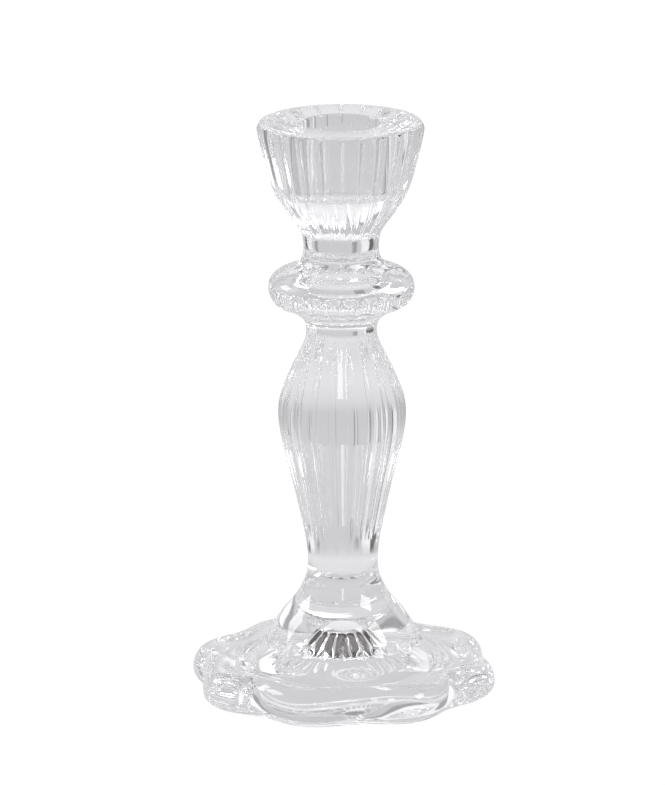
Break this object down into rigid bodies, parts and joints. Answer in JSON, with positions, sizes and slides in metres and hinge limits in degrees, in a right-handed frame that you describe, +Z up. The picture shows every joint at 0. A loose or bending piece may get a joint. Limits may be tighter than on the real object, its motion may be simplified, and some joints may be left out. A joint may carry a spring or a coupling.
{
  "type": "glass candlestick",
  "caption": "Clear pressed-glass candlestick: scalloped foot, bell pedestal, fluted baluster stem, disc collar and fluted cup with a socket for a dinner candle.",
  "frame": {"origin": "middle of the flat resting plane under the foot, on the axis of the candlestick", "axes": "+Z up along the axis of stem and socket; +X through the top of one lobe of the foot"},
  "size_m": [0.0888, 0.0888, 0.167],
  "materials": {
    "clear_glass": "fire-polished clear soda-lime glass, faintly grey, with soft pressed edges"
  },
  "bodies": {
    "root": {"foot_plate": "clear_glass", "pedestal": "clear_glass", "stem": "clear_glass", "collar": "clear_glass", "neck": "clear_glass", "candle_cup": "clear_glass"}
  },
  "joints": []
}
